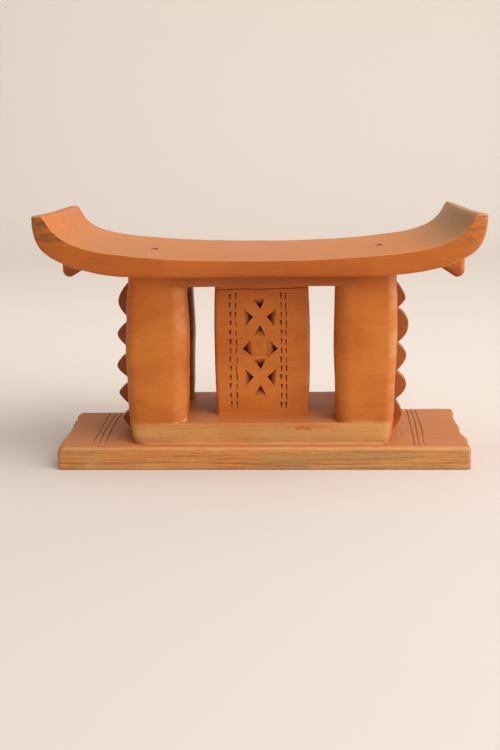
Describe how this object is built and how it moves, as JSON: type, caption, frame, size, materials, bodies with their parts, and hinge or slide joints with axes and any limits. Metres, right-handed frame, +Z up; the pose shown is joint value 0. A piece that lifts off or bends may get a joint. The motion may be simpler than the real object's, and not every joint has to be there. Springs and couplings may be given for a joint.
{
  "type": "carved wooden headrest",
  "caption": "Stool-shaped carved headrest: curved seat on corner posts, a chip-carved column and scalloped end frets, on a plinth and a flat base.",
  "frame": {"origin": "middle of the base's underside", "axes": "+Z up, +X along the seat to the viewer's right, the front with the carved column faces -Y"},
  "size_m": [0.368, 0.14, 0.2147],
  "materials": {
    "stained_wood": "orange-brown stained hardwood, hand-smoothed, satin wax",
    "pale_wood": "the same wood with a thinner, worn stain"
  },
  "bodies": {
    "root": {"base_board": "pale_wood", "centre_column": "stained_wood", "end_fret_left": "stained_wood", "end_fret_right": "stained_wood", "lug_left": "stained_wood", "lug_right": "stained_wood", "plinth": "pale_wood", "post_back_left": "stained_wood", "post_back_right": "stained_wood", "post_front_left": "stained_wood", "post_front_right": "stained_wood", "seat": "stained_wood", "seat_rail": "stained_wood"}
  },
  "joints": []
}
